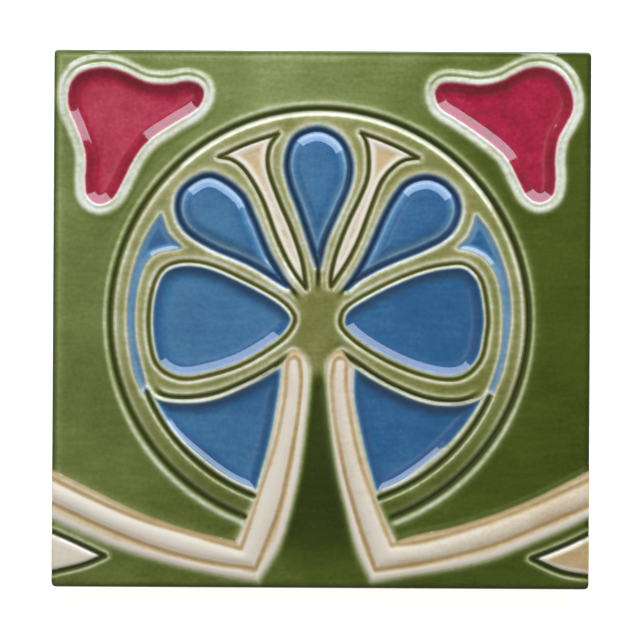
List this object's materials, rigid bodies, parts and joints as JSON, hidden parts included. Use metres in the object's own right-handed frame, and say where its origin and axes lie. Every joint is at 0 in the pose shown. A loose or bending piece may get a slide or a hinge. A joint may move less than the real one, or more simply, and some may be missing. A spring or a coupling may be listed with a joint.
{
  "type": "art nouveau tile",
  "caption": "Square relief-pressed wall tile with a round flower medallion on curved straps and hearts in the upper corners, glazed green, blue, red and cream.",
  "frame": {"origin": "middle of the flat back face", "axes": "+Z out of the glazed face, +Y towards the top of the pattern, +X to its right"},
  "size_m": [0.1524, 0.1524, 0.0097],
  "materials": {
    "glazed_earthenware": "coloured transparent majolica glazes, pooled dark in the grooves and thin and pale on the raised lines; bare buff biscuit on the back and sides"
  },
  "bodies": {
    "root": {"tile": "glazed_earthenware"}
  },
  "joints": []
}
